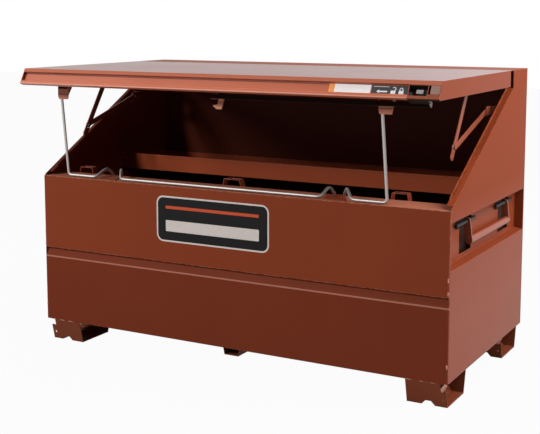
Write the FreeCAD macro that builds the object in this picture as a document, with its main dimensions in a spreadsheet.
"""Jobsite storage box: a slope-lid steel chest, modelled with its lid propped open.

Frame: X along the length, Y from the front to the back, Z up. Sketches are drawn in the
chest's own coordinates (middle of the length, face of the front wall, underside of the
floor), and every sub-part's Placement carries them to the middle of the footprint on the
ground. Pieces drawn with the lid shut are turned up about the hinge by their Placement.
"""
import FreeCAD, Part
import Sketcher
import math
import os
import re

SIZES = {
    # chest shell
    "width": 1524, "depth": 768, "wall_height": 909, "sill_height": 524, "metal": 2,
    "slope_angle": 28.4, "corner_flange": 8, "corner_radius": 3, "notch_back": 602,
    # crease that runs along the front wall
    "crease_top": 264, "crease_bottom": 232, "crease_depth": 10, "crease_lap": 26,
    "crease_step": 6, "rear_top_flange": 30,
    # sill over the front wall, and the turned edge on each side wall
    "sill_depth": 117, "sill_flange": 34, "rim_inset": 22, "rim_start": 24, "bead_height": 7,
    # groove along each side wall and the windows in it
    "groove_depth": 31, "groove_bottom": 345, "groove_top": 487, "ledge_fall": 3,
    "window_bottom": 360, "window_top": 471, "window_length": 112, "window_front": 170,
    "window_back": 563, "window_ear": 12, "notch_length": 39, "notch_low": 443,
    "notch_high": 474,
    # floor and skids
    "floor_rim": 25, "skid_height": 76, "skid_plate": 3, "skid_length": 130,
    "skid_width": 184, "skid_lean": 18, "skid_flange": 22, "skid_right": 628,
    "skid_left": -746, "skid_rear": 546, "rib_start": 48, "rib_width": 43, "rib_height": 14,
    "rib_lean": 12, "skid_cut_long": 18, "skid_cut_tall": 23, "anchor_radius": 4,
    "anchor_inset": 12, "anchor_height": 26, "beam_half": 31, "beam_depth": 30,
    "beam_lean": 6, "beam_foot": 16, "beam_front": 26, "beam_back": 742,
    # tool tray
    "tray_front": 456, "tray_bottom": 497, "tray_top": 556, "tray_back": 530,
    "tray_hem": 12, "bracket_width": 29, "bracket_drop": 9, "bracket_inset": 30,
    # hinge
    "hinge_back": 596, "hinge_height": 904, "hinge_gap": 6, "knuckle_radius": 4.5,
    "hinge_pin_radius": 2.4, "hinge_bore": 2.5, "leaf_metal": 1.6, "leaf_reach": 42,
    "hinge_length": 1476, "knuckles": 5, "knuckle_gap": 1,
    # lid
    "lid_reach": 681, "lid_flange": 54.5, "lip_length": 57, "lip_strip": 13,
    "channel_depth": 27, "channel_opening": 32, "hem_return": 14, "lid_flange_back": 568,
    "lip_clear": 9.7, "stiffener_place": 380, "stiffener_width": 70, "stiffener_depth": 22,
    "stiffener_front": 60, "stiffener_back": 540, "stiffener_foot": 16, "stiffener_lean": 4,
    # lock at the right end of the lip
    "lock_left": 663, "lock_right": 724, "lock_depth": 36, "lock_lip": 9, "slot_clear": 2,
    "tab_left": 686, "tab_right": 707, "tab_top": 26, "tab_bottom": 38, "tab_front": 8,
    "tab_tail": 42, "latch_travel": 18,
    "escutcheon_left": 731, "escutcheon_width": 28, "escutcheon_height": 27,
    # latch, drawn with the lid shut
    "group_middle": -54, "group_half": 609, "bar_metal": 3, "bar_height": 15,
    "bar_back": 86, "bar_low": 541, "hook_back": 135, "hook_low": 526, "hook_high": 560,
    "hook_left": -44, "hook_neck": 20, "hook_nose": 15, "hook_metal": 4, "nose_top": 15,
    "nose_high": 13, "nose_low": 9,
    # strikes behind the sill
    "strike_half": 38, "strike_top_half": 30, "strike_rise": 21, "strike_leg": 30,
    "strike_depth": 29, "strike_knee": 8, "side_strike_half": 31, "side_strike_top_half": 26,
    "strike_middle": -50, "slot_front": 2.5, "slot_back": 4, "slot_lead": 6, "slot_side": 1.5,
    # prop rod and its clips
    "rod_radius": 5, "rod_front": 19, "rod_rest": 530.4, "rod_tip_back": 6,
    "rod_tip": 806, "rod_lean": 14, "rod_pivot_back": 136, "rod_pivot_height": 516,
    "rod_bend": 9, "bend_step": 50, "hump_middle": 437, "hump_half": 53, "hump_back": 88,
    "hump_height": 556, "eye_middle": -41, "eye_half": 14, "clip_bore": 5.1,
    "clip_metal": 2, "clip_half": 33, "clip_front": 4, "clip_back": 107, "strap_half": 4,
    "saddle_left": -38, "saddle_right": 40,
    # prop receivers under the lid
    "receiver_half": 23, "receiver_low": 800, "receiver_cheek_low": 812,
    "receiver_top": 836, "receiver_rear": 847, "receiver_face": -3, "receiver_depth": 24,
    "tongue_half": 20,
    # lift handles
    "handle_pin_radius": 6, "handle_pin_out": 737, "handle_pin_height": 458,
    "handle_bore": 6.1, "handle_eye": 11, "grip_radius": 12, "grip_out": 744.5,
    "grip_height": 397, "handle_front": 226, "handle_back": 619, "arm_metal": 6,
    "handle_pin_front": 118, "handle_pin_rear": 296, "pan_depth": 15,
    # stays beside the side walls
    "stay_place": 706, "stay_metal": 3, "stay_half": 9, "stay_bore": 4.1,
    "stay_pin_radius": 4, "stay_head_radius": 7.5, "stay_head": 3, "stay_body_back": 485,
    "stay_body_height": 779.5, "knee_back": 186, "knee_height": 691, "stay_lid_back": 302,
    "stay_lid_height": 865, "knee_tail": 36, "knee_slot": 5.2, "knee_bore": 6.2,
    "stay_gap": 0.6, "stay_wide_half": 11, "post_front": 14, "post_back": 30, "post_low": 16,
    "post_high": 14, "post_foot": 62, "post_foot_low": 34, "lug_half": 30, "lug_waist": 14,
    "lug_drop": 12, "lug_foot": 32,
}

doc = FreeCAD.newDocument("JobsiteBox")
sheet = doc.addObject("Spreadsheet::Sheet", "Sizes")
for row, (alias, number) in enumerate(SIZES.items(), 1):
    sheet.set("A%d" % row, alias)
    sheet.set("B%d" % row, str(number))
    sheet.setAlias("B%d" % row, alias)
doc.recompute()

SUB_PARTS = []
AXES = {"XY": ("x", "y", "z"), "XZ": ("x", "z", "y"), "YZ": ("y", "z", "x")}


# ---- expressions and sketches ----------------------------------------------------------

def full(text):
    """Write an expression of plain aliases as one that another object can use."""
    return re.sub(r"[a-z_]+", lambda word: "Sizes." * (word[0] in SIZES) + word[0], str(text))


def value(text):
    """The number that an expression has now."""
    return float(sheet.evalExpression(full(text)))


def new_body(label):
    """A body that becomes one sub-part."""
    body = doc.addObject("PartDesign::Body", label)
    body.Label = label
    body.AllowCompound = True
    SUB_PARTS.append(body)
    return body


def pin_point(sketch, geometry, point, across, up):
    """Tie a point of the sketch to the sheet."""
    for kind, axis, text in (("DistanceX", -2, across), ("DistanceY", -1, up)):
        size = value(text)
        if abs(size) < 1e-9:
            sketch.addConstraint(Sketcher.Constraint("PointOnObject", geometry, point, axis))
            continue
        number = sketch.addConstraint(Sketcher.Constraint(kind, -1, 1, geometry, point, size))
        sketch.setExpression("Constraints[%d]" % number, full(text))


def draw_outline(sketch, corners):
    """A closed outline of straight lines through the corners."""
    spots = [FreeCAD.Vector(value(across), value(up), 0) for across, up in corners]
    first = sketch.GeometryCount
    for index, spot in enumerate(spots):
        sketch.addGeometry(Part.LineSegment(spot, spots[(index + 1) % len(spots)]), False)
    for index, (across, up) in enumerate(corners):
        after = first + (index + 1) % len(corners)
        sketch.addConstraint(Sketcher.Constraint("Coincident", first + index, 2, after, 1))
        pin_point(sketch, first + index, 1, across, up)


def draw_circle(sketch, across, up, radius):
    """A circle with its centre and radius tied to the sheet."""
    centre = FreeCAD.Vector(value(across), value(up), 0)
    circle = sketch.addGeometry(Part.Circle(centre, FreeCAD.Vector(0, 0, 1), value(radius)), False)
    pin_point(sketch, circle, 3, across, up)
    number = sketch.addConstraint(Sketcher.Constraint("Radius", circle, value(radius)))
    sketch.setExpression("Constraints[%d]" % number, full(radius))


def new_sketch(body, plane, start, end, outlines, circles):
    """A sketch on one of the body's origin planes, moved to where its feature starts."""
    sketch = body.newObject("Sketcher::SketchObject", body.Name + "_sketch")
    role = plane + "_Plane"
    support = [item for item in body.Origin.OriginFeatures if item.Role == role][0]
    sketch.AttachmentSupport = [(support, "")]
    sketch.MapMode = "FlatFace"
    level = "-(%s)" % end if plane == "XZ" else start
    sketch.setExpression("AttachmentOffset.Base.z", full(level))
    for corners in outlines:
        draw_outline(sketch, corners)
    for across, up, radius in circles:
        draw_circle(sketch, across, up, radius)
    return sketch


def pad(body, plane, start, end, outlines=(), circles=()):
    """Add material between two places along the plane's third axis."""
    feature = body.newObject("PartDesign::Pad", body.Name + "_pad")
    feature.Profile = new_sketch(body, plane, start, end, outlines, circles)
    feature.setExpression("Length", full("(%s) - (%s)" % (end, start)))
    body.Tip = feature
    doc.recompute()


def cut(body, plane, start, end, outlines=(), circles=()):
    """Take material away between two places along the plane's third axis."""
    before = body.Shape.Volume
    feature = body.newObject("PartDesign::Pocket", body.Name + "_pocket")
    feature.Profile = new_sketch(body, plane, start, end, outlines, circles)
    feature.setExpression("Length", full("(%s) - (%s)" % (end, start)))
    feature.Reversed = True
    body.Tip = feature
    doc.recompute()
    if body.Shape.Volume > before - 1e-3:
        raise RuntimeError("a pocket in %s cuts nothing" % body.Label)


def soften(body, plane, corners, radius):
    """Round the straight edges that cross the plane at the corners."""
    across, up, _ = AXES[plane]
    spots = [(value(first), value(second)) for first, second in corners]
    names = []
    for number, edge in enumerate(body.Shape.Edges, 1):
        ends = [(getattr(v.Point, across), getattr(v.Point, up)) for v in edge.Vertexes]
        for spot in spots:
            if len(ends) == 2 and all(math.dist(end, spot) < 1e-4 for end in ends):
                names.append("Edge%d" % number)
    rounded = body.Tip
    fillet = body.newObject("PartDesign::Fillet", body.Name + "_bend")
    fillet.Base = (rounded, names)
    body.Tip = fillet
    fillet.setExpression("Radius", full(radius))
    doc.recompute()


def rectangle(left, right, low, high):
    """Corners of an upright rectangle."""
    return [(left, low), (right, low), (right, high), (left, high)]


def folded(path, inside, gauge="metal"):
    """Outline of a bent sheet: the path of its outer face, and the same path one gauge in.

    inside is 1 where the metal lies to the left of the path, and -1 to its right.
    """
    spots = [(value(across), value(up)) for across, up in path]
    normals = []
    for (x1, y1), (x2, y2) in zip(spots, spots[1:]):
        length = math.dist((x1, y1), (x2, y2))
        normals.append((-(y2 - y1) / length * inside, (x2 - x1) / length * inside))
    inner = []
    for index, (across, up) in enumerate(path):
        first = normals[max(index - 1, 0)]
        second = normals[min(index, len(normals) - 1)]
        shared = 1 + first[0] * second[0] + first[1] * second[1]
        step = [(first[axis] + second[axis]) / shared for axis in (0, 1)]
        inner.append(("(%s) + %.9f * %s" % (across, step[0], gauge),
                      "(%s) + %.9f * %s" % (up, step[1], gauge)))
    return list(path) + inner[::-1]


def place(body, opened=False):
    """Carry a sub-part to the middle of the footprint, turning it up with the lid if asked."""
    base_y, base_z = "-(depth - %s) / 2" % OVERHANG, "skid_height"
    if opened:
        body.Placement.Rotation = FreeCAD.Rotation(FreeCAD.Vector(1, 0, 0), -1)
        body.setExpression("Placement.Rotation.Angle", full("-slope_angle"))
        base_y += " + hinge_back - hinge_back * cos(slope_angle) - hinge_height * sin(slope_angle)"
        base_z += " + hinge_height + hinge_back * sin(slope_angle) - hinge_height * cos(slope_angle)"
    body.setExpression("Placement.Base.y", full(base_y))
    body.setExpression("Placement.Base.z", full(base_z))


HALF = "width / 2"
INNER = "(width / 2 - metal)"
LID_FRONT = "(hinge_back - lid_reach)"
OVERHANG = "(lid_reach - hinge_back + lip_length * sin(slope_angle))"
SLOPE_RISE = "tan(slope_angle)"
SHUT_FORWARD = ("(lid_reach * cos(slope_angle) - hinge_back"
                " + (wall_height - hinge_height) * sin(slope_angle))")
SHUT_HEIGHT = ("(hinge_height - lid_reach * sin(slope_angle)"
               " + (wall_height - hinge_height) * cos(slope_angle))")


def mirrored(side, text):
    """An expression along X for the right side, or its mirror image for the left."""
    return text if side > 0 else "-(%s)" % text


def span(side, low, high):
    """A span along X, in rising order on either side."""
    return (low, high) if side > 0 else ("-(%s)" % high, "-(%s)" % low)


def side_name(side):
    return "right" if side > 0 else "left"


def on_lip(down, behind):
    """A point given by its distance down the lip and behind its face, with the lid up."""
    return ("%s - (%s) * sin(slope_angle) + (%s) * cos(slope_angle)" % (LID_FRONT, down, behind),
            "wall_height - (%s) * cos(slope_angle) - (%s) * sin(slope_angle)" % (down, behind))


def slope_at(back, above="0"):
    """Height of the sloping edge at a distance from the front."""
    return "sill_height + (%s) * %s + (%s)" % (back, SLOPE_RISE, above)


# ---- chest shell -----------------------------------------------------------------------

def corner_returns(body, front, back, low, high):
    """Narrow flanges that carry a wall's sheet round both vertical corners."""
    for side in (-1, 1):
        pad(body, "YZ", *span(side, INNER, HALF), [rectangle(front, back, low, high)])


def front_upper_panel():
    """Upper front sheet: turned in at the crease below and over the sill above."""
    body = new_body("front_upper_panel")
    path = [("crease_depth", "crease_top"), ("0", "crease_top"), ("0", "sill_height"),
            ("sill_depth", "sill_height"), ("sill_depth", "sill_height - sill_flange")]
    pad(body, "YZ", "-" + INNER, INNER, [folded(path, -1)])
    corner_returns(body, "0", "corner_flange", "crease_top", "sill_height")
    soften(body, "XY", [(HALF, "0"), ("-" + HALF, "0")], "corner_radius")
    place(body)


def front_lower_panel():
    """Lower front sheet: its sloping shoulder tucks in behind the upper sheet."""
    body = new_body("front_lower_panel")
    path = [("0", "0"), ("0", "crease_bottom"), ("crease_depth", "crease_top - crease_step"),
            ("crease_depth", "crease_top + crease_lap")]
    pad(body, "YZ", "-" + INNER, INNER, [folded(path, -1)])
    corner_returns(body, "0", "corner_flange", "0", "crease_top")
    soften(body, "XY", [(HALF, "0"), ("-" + HALF, "0")], "corner_radius")
    place(body)


def side_panel(side):
    """Side wall: one sheet with the handle groove pressed in and a turned sloping edge."""
    body = new_body("side_panel_" + side_name(side))
    floor_of_groove = "width / 2 - groove_depth"
    path = [(HALF, "0"), (HALF, "groove_bottom - ledge_fall"),
            (floor_of_groove, "groove_bottom + ledge_fall"), (floor_of_groove, "groove_top"),
            (HALF, "groove_top"), (HALF, "wall_height - metal")]
    path = [(mirrored(side, across), up) for across, up in path]
    pad(body, "XZ", "corner_flange", "depth - corner_flange", [folded(path, side)])
    above_slope = [("0", slope_at("0")), ("notch_back", slope_at("notch_back")),
                   ("notch_back", "wall_height"), ("0", "wall_height")]
    cut(body, "YZ", *span(side, "width / 2 - groove_depth", HALF), [above_slope])
    rim = [("rim_start", slope_at("rim_start")), ("notch_back", slope_at("notch_back")),
           ("notch_back", slope_at("notch_back", "-metal / cos(slope_angle)")),
           ("rim_start", slope_at("rim_start", "-metal / cos(slope_angle)"))]
    pad(body, "YZ", *span(side, "width / 2 - rim_inset", INNER), [rim])
    bead_start = "2 * rim_start"
    bead = [(bead_start, slope_at(bead_start)), ("hinge_back", slope_at("hinge_back")),
            ("hinge_back", slope_at("hinge_back", "bead_height")),
            (bead_start + " + bead_height", slope_at(bead_start + " + bead_height", "bead_height"))]
    pad(body, "YZ", *span(side, "width / 2 - rim_inset", "width / 2 - rim_inset + metal"), [bead])
    for start in ("window_front", "window_back"):
        end = start + " + window_length"
        window = [(start, "window_bottom"), (end, "window_bottom"), (end, "window_top"),
                  (start + " + window_ear", "window_top"),
                  (start + " + window_ear", "notch_high"),
                  (start + " - notch_length", "notch_high"),
                  (start + " - notch_length", "notch_low"), (start, "notch_low")]
        cut(body, "YZ", *span(side, floor_of_groove + " - metal", floor_of_groove), [window])
    groove_end = rectangle(*span(side, floor_of_groove + " - metal", HALF),
                           "groove_bottom - ledge_fall", "groove_top")
    pad(body, "XZ", "corner_flange", "corner_flange + metal", [groove_end])
    pad(body, "XZ", "depth - corner_flange - metal", "depth - corner_flange", [groove_end])
    place(body)


def back_panel():
    """Back wall sheet with its two corner returns."""
    body = new_body("back_panel")
    pad(body, "YZ", "-" + HALF, HALF, [rectangle("depth - metal", "depth", "0", "wall_height")])
    corner_returns(body, "depth - corner_flange", "depth - metal", "0", "wall_height - metal")
    soften(body, "XY", [(HALF, "depth"), ("-" + HALF, "depth")], "corner_radius")
    place(body)


def rear_top_panel():
    """Fixed strip behind the hinge, turned down inside the back wall."""
    body = new_body("rear_top_panel")
    back = "depth - metal"
    path = [("notch_back", "wall_height"), (back, "wall_height"), (back, "wall_height - rear_top_flange")]
    pad(body, "YZ", "-" + INNER, INNER, [folded(path, -1)])
    for side in (-1, 1):
        pad(body, "YZ", *span(side, INNER, HALF),
            [rectangle("notch_back", back, "wall_height - metal", "wall_height")])
    place(body)


def floor_panel():
    """Floor pan with its rims turned up inside the four walls."""
    body = new_body("floor_panel")
    path = [("metal", "floor_rim"), ("metal", "0"), ("depth - metal", "0"),
            ("depth - metal", "floor_rim")]
    pad(body, "YZ", "-" + INNER, INNER, [folded(path, 1)])
    for side in (-1, 1):
        pad(body, "YZ", *span(side, INNER + " - metal", INNER),
            [rectangle("corner_flange", "depth - corner_flange", "0", "floor_rim")])
    place(body)


def skid(label, left, front, side):
    """Hat-section skid, open at both ends, with a rib pressed up across its sole."""
    body = new_body(label)
    sole = "-skid_height"
    path = [("%s + skid_flange + skid_plate" % front, "0"), (front, "0"),
            ("%s + skid_lean" % front, sole), ("%s + skid_width - skid_lean" % front, sole),
            ("%s + skid_width" % front, "0"),
            ("%s + skid_width - skid_flange - skid_plate" % front, "0")]
    pad(body, "YZ", left, "%s + skid_length" % left, [folded(path, 1, "skid_plate")])
    near = "%s + %s" % (left, "rib_start" if side > 0 else "skid_length - rib_start - rib_width")
    rib = [(near, sole), (near + " + rib_lean", sole + " + rib_height"),
           (near + " + rib_width - rib_lean", sole + " + rib_height"), (near + " + rib_width", sole)]
    cut(body, "XZ", front, "%s + skid_width" % front, [rib])
    inset = "skid_lean + skid_plate"
    raised = [(near + " - skid_plate", sole), (near, sole), rib[1], rib[2],
              (near + " + rib_width", sole), (near + " + rib_width + skid_plate", sole),
              (near + " + rib_width - rib_lean", sole + " + rib_height + skid_plate"),
              (near + " + rib_lean", sole + " + rib_height + skid_plate")]
    pad(body, "XZ", "%s + %s" % (front, inset), "%s + skid_width - %s" % (front, inset), [raised])
    outer = "%s + skid_length - skid_cut_long" % left if side > 0 else left
    cut(body, "XZ", front, "%s + skid_flange + skid_plate" % front,
        [rectangle(outer, outer + " + skid_cut_long", "-skid_cut_tall", "0")])
    hole = "%s + skid_length - anchor_inset" % left if side > 0 else left + " + anchor_inset"
    cut(body, "XZ", front, "%s + skid_lean + skid_plate" % front, (),
        [(hole, "anchor_height - skid_height", "anchor_radius")])
    place(body)


def floor_beam():
    """Hat section under the middle of the floor, from front to back."""
    body = new_body("floor_beam")
    path = [("-beam_half - beam_foot", "0"), ("-beam_half", "0"),
            ("-beam_half + beam_lean", "-beam_depth"), ("beam_half - beam_lean", "-beam_depth"),
            ("beam_half", "0"), ("beam_half + beam_foot", "0")]
    pad(body, "XZ", "beam_front", "beam_back", [folded(path, -1)])
    place(body)


# ---- tool tray -------------------------------------------------------------------------

def tool_tray():
    """Tray across the back: hemmed front, flat floor, low back and two end walls."""
    body = new_body("tool_tray")
    back = "depth - metal"
    path = [("tray_front + tray_hem", "tray_top"), ("tray_front", "tray_top"),
            ("tray_front", "tray_bottom"), (back, "tray_bottom"), (back, "tray_back")]
    pad(body, "YZ", "-" + INNER, INNER, [folded(path, 1)])
    end_wall = [("tray_front", "tray_bottom"), (back, "tray_bottom"), (back, "tray_back"),
                ("tray_front + tray_hem", "tray_top")]
    for side in (-1, 1):
        pad(body, "YZ", *span(side, INNER + " - metal", INNER), [end_wall])
    place(body)


def tray_bracket(side):
    """Angle under each end of the tray, fixed to the groove's inner face."""
    body = new_body("tray_bracket_" + side_name(side))
    wall = "width / 2 - groove_depth - metal"
    path = [(wall + " - bracket_width", "tray_bottom"), (wall, "tray_bottom"),
            (wall, "tray_bottom - metal - 2 * bracket_drop")]
    path = [(mirrored(side, across), up) for across, up in path]
    pad(body, "XZ", "tray_front + bracket_inset", "depth - bracket_inset", [folded(path, -side)])
    place(body)


# ---- hinge -----------------------------------------------------------------------------

def knuckle_span(index):
    """Ends of one knuckle along the hinge, by its number from the left."""
    pitch = "hinge_length / knuckles"
    return ("-hinge_length / 2 + %d * %s + knuckle_gap / 2" % (index, pitch),
            "-hinge_length / 2 + %d * %s - knuckle_gap / 2" % (index + 1, pitch))


def hinge_leaf(label, first, toward_back):
    """One leaf of the hinge with every second knuckle."""
    body = new_body(label)
    sign = 1 if toward_back else -1
    edges = ["hinge_back + %d * (knuckle_radius + knuckle_gap)" % sign,
             "hinge_back + %d * leaf_reach" % sign]
    top = "wall_height - metal"
    plate = rectangle(*(edges if toward_back else edges[::-1]), top + " - leaf_metal", top)
    pad(body, "YZ", "-hinge_length / 2", "hinge_length / 2", [plate])
    tab_ends = ["hinge_back + %d * hinge_pin_radius" % sign, edges[0]]
    tab = rectangle(*(tab_ends if toward_back else tab_ends[::-1]), top + " - leaf_metal", top)
    for index in range(first, int(SIZES["knuckles"]), 2):
        start, end = knuckle_span(index)
        pad(body, "YZ", start, end, (), [("hinge_back", "hinge_height", "knuckle_radius")])
        pad(body, "YZ", start, end, [tab])
    cut(body, "YZ", "-hinge_length / 2 - 1", "hinge_length / 2 + 1", (),
        [("hinge_back", "hinge_height", "hinge_bore")])
    place(body)


def hinge_pin():
    """Pin through every knuckle."""
    body = new_body("hinge_pin")
    pad(body, "YZ", "-hinge_length / 2", "hinge_length / 2", (),
        [("hinge_back", "hinge_height", "hinge_pin_radius")])
    place(body)


# ---- lid -------------------------------------------------------------------------------

def lid_panel():
    """Lid sheet: flat top, strip of the lip in front and a deep flange on each side."""
    body = new_body("lid_panel")
    path = [("hinge_back - hinge_gap", "wall_height"), (LID_FRONT, "wall_height"),
            on_lip("lip_strip", "0")]
    pad(body, "YZ", "-" + INNER, INNER, [folded(path, 1)])
    flange = [(LID_FRONT, "wall_height"), on_lip("lip_length", "0"),
              on_lip("lip_length", "lip_clear"), (LID_FRONT + " + 2 * lid_flange", "wall_height - lid_flange"),
              ("lid_flange_back", "wall_height - lid_flange"), ("lid_flange_back", "wall_height")]
    for side in (-1, 1):
        pad(body, "YZ", *span(side, INNER, HALF), [flange])
        pad(body, "YZ", *span(side, INNER, HALF),
            [rectangle("lid_flange_back", "hinge_back - hinge_gap", "wall_height - metal", "wall_height")])
    place(body)


def channel_path(behind):
    """Outer path of the lip's channel, from under the strip down to the hem."""
    low = "lip_strip + channel_opening"
    return [on_lip("lip_strip", "0"), on_lip("lip_strip", behind), on_lip(low, behind),
            on_lip(low, "metal"), on_lip("lip_length - metal", "metal"),
            on_lip("lip_length - metal", "hem_return")]


def lid_front_channel():
    """Hollow channel along the lip, open to the front, with a hem under it."""
    body = new_body("lid_front_channel")
    pad(body, "YZ", "-" + INNER, "lock_left", [folded(channel_path("channel_depth"), -1)])
    place(body)


def lid_stiffener(side):
    """Hat section under the lid, from front to back."""
    body = new_body("lid_stiffener_" + side_name(side))
    top = "wall_height - metal"
    left = "%s - stiffener_width / 2" % mirrored(side, "stiffener_place")
    right = "%s + stiffener_width / 2" % mirrored(side, "stiffener_place")
    low = top + " - stiffener_depth"
    path = [(left, top), (left + " + stiffener_foot", top),
            (left + " + stiffener_foot + stiffener_lean", low),
            (right + " - stiffener_foot - stiffener_lean", low),
            (right + " - stiffener_foot", top), (right, top)]
    pad(body, "XZ", "stiffener_front", "stiffener_back", [folded(path, -1)])
    place(body)


def lock_housing():
    """Deep pocket at the right end of the lip, with the slot that the tab slides in."""
    body = new_body("lock_housing")
    path = [on_lip("lip_strip", "0"), on_lip("lip_strip", "lock_depth"),
            on_lip("lip_length", "lock_depth"), on_lip("lip_length", "0"),
            on_lip("lip_length - lock_lip", "0")]
    pad(body, "YZ", "lock_left", "lock_right", [folded(path, -1)])
    end_plate = [on_lip("lip_strip", "0"), on_lip("lip_strip", "lock_depth"),
                 on_lip("lip_length", "lock_depth"), on_lip("lip_length", "0")]
    pad(body, "YZ", "lock_left", "lock_left + metal", [end_plate])
    pad(body, "YZ", "lock_right - metal", "lock_right", [end_plate])
    slot = [on_lip(down, behind) for down, behind in (
        ("tab_top - slot_clear", "lock_depth - metal"), ("tab_top - slot_clear", "lock_depth"),
        ("tab_bottom + slot_clear", "lock_depth"), ("tab_bottom + slot_clear", "lock_depth - metal"))]
    cut(body, "YZ", "tab_left - latch_travel - slot_clear", "tab_right + slot_clear", [slot])
    pad(body, "YZ", "lock_right", INNER, [folded(channel_path("channel_depth"), -1)])
    place(body)


def lock_escutcheon():
    """Rounded plate beside the pocket."""
    body = new_body("lock_escutcheon")
    left = "escutcheon_left"
    top = "lip_strip + metal"
    low = top + " + escutcheon_height"
    face = [on_lip(top, "0"), on_lip(top, "metal"), on_lip(low, "metal"), on_lip(low, "0")]
    pad(body, "YZ", left, left + " + escutcheon_width", [face])
    place(body)


# ---- latch, on the lid -----------------------------------------------------------------

def lock_tab():
    """Finger tab in the pocket with the arm that carries it to the latch bar."""
    body = new_body("lock_tab")
    tab = [on_lip("tab_top", "tab_front"), on_lip("tab_top", "tab_tail"),
           on_lip("tab_bottom", "tab_tail"), on_lip("tab_bottom", "tab_front")]
    pad(body, "YZ", "tab_left", "tab_right", [tab])
    bar_top = SHUT_HEIGHT + " - bar_low - bar_height"
    bar_bottom = SHUT_HEIGHT + " - bar_low"
    bar_face = "bar_back + " + SHUT_FORWARD
    arm = [on_lip("tab_top", "tab_tail - bar_metal"), on_lip(bar_top, bar_face),
           on_lip(bar_bottom, bar_face), on_lip("tab_bottom", "tab_tail - bar_metal")]
    pad(body, "YZ", "tab_right - bar_metal", "tab_right", [arm])
    place(body)


def latch_bar():
    """Flat bar from the lock to the hook, drawn with the lid shut."""
    body = new_body("latch_bar")
    pad(body, "YZ", "hook_left", "tab_right",
        [rectangle("bar_back", "bar_back + bar_metal", "bar_low", "bar_low + bar_height")])
    place(body, opened=True)


def latch_hook():
    """Hook with a slanted lead-in, on an arm from the bar, drawn with the lid shut."""
    body = new_body("latch_hook")
    neck = "hook_left"
    profile = [(neck, "hook_high"), (neck, "hook_low + nose_top"),
               (neck + " - hook_nose", "hook_low + nose_high"),
               (neck + " - hook_nose", "hook_low + nose_low"), (neck, "hook_low"),
               (neck + " + hook_neck", "hook_low"), (neck + " + hook_neck", "hook_high")]
    pad(body, "XZ", "hook_back", "hook_back + hook_metal", [profile])
    pad(body, "XZ", "bar_back + bar_metal", "hook_back",
        [rectangle(neck, neck + " + hook_neck", "hook_high - bar_metal", "hook_high")])
    pad(body, "XZ", "bar_back + bar_metal", "bar_back + 2 * bar_metal",
        [rectangle(neck, neck + " + hook_neck", "bar_low", "hook_high")])
    place(body, opened=True)


def prop_receiver(side):
    """Bracket under the lid that takes a tip of the prop rod, open at the back and below."""
    body = new_body("prop_receiver_" + side_name(side))
    middle = "group_middle + %d * group_half" % side
    left, right = middle + " - receiver_half", middle + " + receiver_half"
    front = [(left, "receiver_top"), (left, "receiver_cheek_low"),
             (middle + " - tongue_half", "receiver_low"), (middle + " + tongue_half", "receiver_low"),
             (right, "receiver_cheek_low"), (right, "receiver_top")]
    pad(body, "XZ", "receiver_face", "receiver_face + metal", [front])
    rear = "receiver_face + receiver_depth"
    roof = folded([("receiver_face", "receiver_cheek_low + metal"), (rear, "receiver_rear")], 1)
    cheek = [("receiver_face", "receiver_cheek_low"), (rear, "receiver_rear - metal"),
             (rear, "wall_height - metal"), ("receiver_face", "wall_height - metal")]
    for edge in (left, right + " - metal"):
        pad(body, "YZ", edge, edge + " + metal", [cheek])
    pad(body, "YZ", left, right, [roof])
    place(body)


# ---- strikes, prop rod and clips -------------------------------------------------------

def strike(name, middle, half, top_half, slot_left, slot_right):
    """Raised bridge behind the sill with a slot through its top."""
    body = new_body("strike_" + name)
    low = "sill_height - strike_leg"
    knee = "sill_height - strike_knee"
    top = "sill_height + strike_rise"
    path = [("%s - %s" % (middle, half), low), ("%s - %s" % (middle, half), knee),
            ("%s - %s" % (middle, top_half), top), ("%s + %s" % (middle, top_half), top),
            ("%s + %s" % (middle, half), knee), ("%s + %s" % (middle, half), low)]
    pad(body, "XZ", "sill_depth", "sill_depth + strike_depth", [folded(path, -1)])
    cut(body, "XY", top + " - metal", top,
        [rectangle(slot_left, slot_right, "sill_depth + slot_front",
                   "sill_depth + strike_depth - slot_back")])
    place(body)


def rod_clip(side):
    """Saddle on the sill with a strap that wraps round the rod's eye behind it."""
    body = new_body("rod_clip_" + side_name(side))
    hump = "group_middle + %d * hump_middle" % side
    eye = hump + " + eye_middle"
    back, up = "rod_pivot_back", "rod_pivot_height"
    top = "sill_height + clip_metal"
    saddle = [(hump + " + saddle_left", "clip_front"), (hump + " + saddle_right", "clip_front"),
              (eye + " + clip_half", "clip_back"), (eye + " - clip_half", "clip_back")]
    pad(body, "XY", "sill_height", top, [saddle])
    strap = (eye + " - strap_half", eye + " + strap_half")
    crown = up + " + clip_bore + clip_metal"
    shoulder = [("clip_back", "sill_height"), ("sill_depth", "sill_height"),
                (back, crown + " - clip_metal"), (back, crown), ("sill_depth", top),
                ("clip_back", top)]
    pad(body, "YZ", *strap, [shoulder])
    pad(body, "YZ", *strap, (), [(back, up, "clip_bore + clip_metal")])
    cut(body, "YZ", *strap, (), [(back, up, "clip_bore")])
    place(body)


def bent_path(points, bend, step):
    """The points of a path whose corners are rounded off by chords of about one step each."""
    path = [points[0]]
    for before, corner, after in zip(points, points[1:], points[2:]):
        to_corner = (corner - before).normalize()
        from_corner = (after - corner).normalize()
        turn = to_corner.getAngle(from_corner)
        start = corner - to_corner * bend * math.tan(turn / 2)
        end = corner + from_corner * bend * math.tan(turn / 2)
        inward = (from_corner - to_corner).normalize()
        waist = corner + inward * bend * (1 / math.cos(turn / 2) - 1)
        chords = max(1, round(math.degrees(turn) / step))
        path += Part.Arc(start, waist, end).toShape().discretize(chords + 1)
    return path + [points[-1]]


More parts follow.
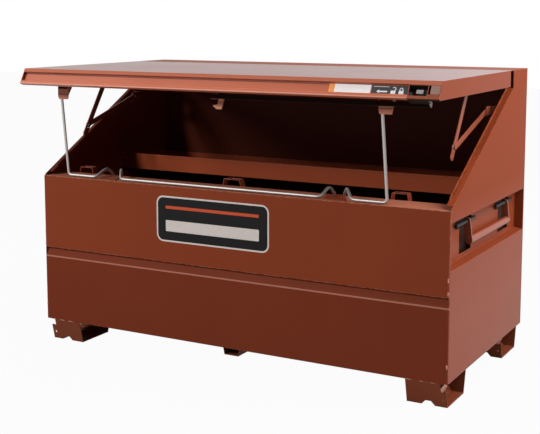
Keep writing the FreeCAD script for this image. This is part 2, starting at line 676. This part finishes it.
def prop_rod():
    """Bail that holds the lid up: a crossbar, two legs and two humps down to its eyes."""
    middle, half, lean = value("group_middle"), value("group_half"), value("rod_lean")
    front, rest = value("rod_front"), value("rod_rest")
    tip = (value("rod_tip_back"), value("rod_tip"))
    hump = [(front, rest), (value("hump_back"), value("hump_height")),
            (value("rod_pivot_back"), value("rod_pivot_height"))]
    share = (value("hump_back") - front) / (value("rod_pivot_back") - front)
    points = [(middle - half - lean, *tip), (middle - half, front, rest)]
    for side in (-1, 1):
        centre = middle + side * value("hump_middle")
        eye = centre + value("eye_middle")
        foot, far = centre - value("hump_half"), centre + value("hump_half")
        left, right = eye - value("eye_half"), eye + value("eye_half")
        down = (foot, foot + (left - foot) * share, left)
        back = (right, far + (right - far) * share, far)
        points += [(across, *corner) for across, corner in zip(down, hump)]
        points += [(across, *corner) for across, corner in zip(back, reversed(hump))]
    points += [(middle + half, front, rest), (middle + half - lean, *tip)]
    path = bent_path([FreeCAD.Vector(*point) for point in points],
                     value("rod_bend"), value("bend_step"))
    section = Part.Wire(Part.Circle(path[0], path[1] - path[0], value("rod_radius")).toShape())
    sweep = Part.BRepOffsetAPI.MakePipeShell(Part.makePolygon(path))
    sweep.setTransitionMode(1)
    sweep.add(section)
    sweep.build()
    sweep.makeSolid()
    rod = doc.addObject("Part::Feature", "prop_rod")
    rod.Label = "prop_rod"
    rod.Shape = sweep.shape()
    SUB_PARTS.append(rod)
    place(rod)


# ---- lift handles ----------------------------------------------------------------------

def lift_handle(side):
    """Drop handle: a round grip between two flat arms."""
    body = new_body("lift_handle_" + side_name(side))
    grip = (mirrored(side, "grip_out"), "grip_height")
    eye = (mirrored(side, "handle_pin_out"), "handle_pin_height")
    pad(body, "XZ", "handle_front - arm_metal / 2", "handle_back + arm_metal / 2", (),
        [(*grip, "grip_radius")])
    for arm in ("handle_front", "handle_back"):
        ends = (arm + " - arm_metal / 2", arm + " + arm_metal / 2")
        web = [(eye[0] + " - handle_eye", eye[1]), (grip[0] + " - handle_eye", grip[1]),
               (grip[0] + " + handle_eye", grip[1]), (eye[0] + " + handle_eye", eye[1])]
        pad(body, "XZ", *ends, [web])
        pad(body, "XZ", *ends, (), [(*eye, "handle_eye")])
        cut(body, "XZ", arm + " - arm_metal", arm + " + arm_metal", (), [(*eye, "handle_bore")])
    place(body)


def handle_pins(side):
    """Pins across the tops of the two windows, on the face of the groove."""
    body = new_body("handle_pins_" + side_name(side))
    centre = (mirrored(side, "handle_pin_out"), "handle_pin_height")
    for shift in ("0", "window_back - window_front"):
        pad(body, "XZ", "handle_pin_front + " + shift, "handle_pin_rear + " + shift, (),
            [(*centre, "handle_pin_radius")])
    place(body)


def handle_housing(side):
    """Closed pans behind the two windows."""
    body = new_body("handle_housing_" + side_name(side))
    face = "width / 2 - groove_depth - metal"
    for start in ("window_front", "window_back"):
        left = start + " - notch_length"
        right = start + " + window_length"
        low, high = "window_bottom", "notch_high"
        pad(body, "YZ", *span(side, face + " - pan_depth", face),
            [rectangle(left + " - metal", right + " + metal", low + " - metal", high + " + metal")])
        cut(body, "YZ", *span(side, face + " - pan_depth + metal", face),
            [rectangle(left, right, low, high)])
    place(body)


# ---- stays -----------------------------------------------------------------------------

def link(body, near, far, half, start, end):
    """Flat bar with round ends between two pivots, given as (back, height) pairs."""
    length = "sqrt((%s - %s)^2 + (%s - %s)^2)" % (far[0], near[0], far[1], near[1])
    across = "(%s - %s) / %s" % (far[0], near[0], length)
    up = "(%s - %s) / %s" % (far[1], near[1], length)
    corners = []
    for point, sign in ((near, 1), (near, -1), (far, -1), (far, 1)):
        corners.append(("%s - %d * %s * %s" % (point[0], sign, half, up),
                        "%s + %d * %s * %s" % (point[1], sign, half, across)))
    pad(body, "YZ", start, end, [corners])
    pad(body, "YZ", start, end, (), [(*near, half)])
    pad(body, "YZ", start, end, (), [(*far, half)])


BODY_PIVOT = ("stay_body_back", "stay_body_height")
LID_PIVOT = ("stay_lid_back", "stay_lid_height")
KNEE = ("knee_back", "knee_height")


def stay_body_link(side):
    """Lower link, from the side wall's bracket to the knee."""
    body = new_body("stay_body_link_" + side_name(side))
    ends = span(side, "stay_place", "stay_place + stay_metal")
    link(body, BODY_PIVOT, KNEE, "stay_half", *ends)
    cut(body, "YZ", *ends, (), [(*BODY_PIVOT, "stay_bore")])
    place(body)


def stay_lid_link(side):
    """Upper link, from the lid's bracket past the knee."""
    body = new_body("stay_lid_link_" + side_name(side))
    ends = span(side, "stay_place - stay_metal - stay_gap", "stay_place - stay_gap")
    length = "sqrt((knee_back - stay_lid_back)^2 + (knee_height - stay_lid_height)^2)"
    tail = ("knee_back + (knee_back - stay_lid_back) * knee_tail / " + length,
            "knee_height + (knee_height - stay_lid_height) * knee_tail / " + length)
    link(body, LID_PIVOT, tail, "stay_wide_half", *ends)
    cut(body, "YZ", *ends, (), [(*LID_PIVOT, "stay_bore")])
    along = ("(knee_back - stay_lid_back) / " + length, "(knee_height - stay_lid_height) / " + length)
    for shift in ("0", "knee_slot"):
        spot = ["%s + %s * %s" % (knee, shift, part) for knee, part in zip(KNEE, along)]
        cut(body, "YZ", *ends, (), [(*spot, "knee_bore")])
    place(body)


def stay_body_bracket(side):
    """Bracket on the side wall that carries the lower link."""
    body = new_body("stay_body_bracket_" + side_name(side))
    inner = "stay_place + stay_metal + stay_gap"
    outer = inner + " + stay_metal"
    front, back = "stay_body_back - post_front", "stay_body_back + post_back"
    low, high = "stay_body_height - post_low", "stay_body_height + post_high"
    pad(body, "YZ", *span(side, inner, outer), [rectangle(front, back, low, high)])
    pad(body, "YZ", *span(side, outer, INNER), [rectangle(back + " - stay_metal", back, low, high)])
    pad(body, "YZ", *span(side, INNER + " - stay_metal", INNER),
        [rectangle(back + " - stay_metal", "stay_body_back + post_foot",
                   "stay_body_height - post_foot_low", high)])
    cut(body, "YZ", *span(side, inner, outer), (), [(*BODY_PIVOT, "stay_pin_radius")])
    place(body)


def stay_lid_bracket(side):
    """Angle under the lid that carries the upper link."""
    body = new_body("stay_lid_bracket_" + side_name(side))
    inner = "stay_place + stay_gap"
    outer = inner + " + stay_metal"
    top = "wall_height - metal"
    low = "stay_lid_height - lug_drop"
    front, back = "stay_lid_back - lug_half", "stay_lid_back + lug_half"
    web = [(front, top), ("stay_lid_back - lug_waist", low), ("stay_lid_back + lug_waist", low),
           (back, top)]
    pad(body, "YZ", *span(side, inner, outer), [web])
    pad(body, "YZ", *span(side, outer, "stay_place + lug_foot"),
        [rectangle(front, back, top + " - stay_metal", top)])
    cut(body, "YZ", *span(side, inner, outer), (), [(*LID_PIVOT, "stay_pin_radius")])
    place(body)


def stay_pin(name, side, centre, start, end):
    """Pivot bolt along X with a hexagon head on its inner end."""
    body = new_body("stay_%s_pin_%s" % (name, side_name(side)))
    pad(body, "YZ", *span(side, start, end), (), [(*centre, "stay_pin_radius")])
    head = [("%s + stay_head_radius * cos(%d)" % (centre[0], turn),
             "%s + stay_head_radius * sin(%d)" % (centre[1], turn)) for turn in range(30, 360, 60)]
    pad(body, "YZ", *span(side, start + " - stay_head", start), [head])
    place(body)


def stay_pins(side):
    """Body, lid and knee bolts of one stay."""
    inner = "stay_place - 2 * stay_gap - stay_metal"
    stay_pin("body", side, BODY_PIVOT, "stay_place - stay_gap",
             "stay_place + 2 * stay_metal + stay_gap")
    stay_pin("lid", side, LID_PIVOT, inner, "stay_place + stay_metal + stay_gap")
    stay_pin("knee", side, KNEE, inner, "stay_place")


# ---- the whole box ---------------------------------------------------------------------

front_upper_panel()
front_lower_panel()
back_panel()
rear_top_panel()
floor_panel()
for end_name, start, which in (("front_right", "skid_right", 1), ("front_left", "skid_left", -1)):
    skid("skid_" + end_name, start, "0", which)
for end_name, start, which in (("rear_right", "skid_right", 1), ("rear_left", "skid_left", -1)):
    skid("skid_" + end_name, start, "skid_rear", which)
floor_beam()
tool_tray()
hinge_leaf("hinge_leaf_body", 0, True)
hinge_leaf("hinge_leaf_lid", 1, False)
hinge_pin()
lid_panel()
lid_front_channel()
lock_housing()
lock_escutcheon()
lock_tab()
latch_bar()
latch_hook()
prop_rod()
strike("centre", "strike_middle", "strike_half", "strike_top_half",
       "hook_left - hook_nose - slot_lead", "hook_left + hook_neck + slot_side")
for side in (-1, 1):
    middle = "group_middle + %d * group_half" % side
    strike(side_name(side), middle, "side_strike_half", "side_strike_top_half",
           middle + " - tongue_half - slot_clear", middle + " + tongue_half + slot_clear")
    side_panel(side)
    tray_bracket(side)
    rod_clip(side)
    lid_stiffener(side)
    prop_receiver(side)
    lift_handle(side)
    handle_pins(side)
    handle_housing(side)
    stay_body_link(side)
    stay_lid_link(side)
    stay_body_bracket(side)
    stay_lid_bracket(side)
    stay_pins(side)
doc.recompute()

for item in doc.Objects:
    if "Invalid" in item.State or "Error" in item.State:
        raise RuntimeError("%s failed: %s" % (item.Label, item.State))
os.makedirs("parts", exist_ok=True)
for part in SUB_PARTS:
    if part.Shape.isNull() or not part.Shape.isValid():
        raise RuntimeError("%s has no valid shape" % part.Label)
for part in SUB_PARTS:
    part.Shape.exportStep("parts/%s.step" % part.Label)
print("%d sub-parts" % len(SUB_PARTS))
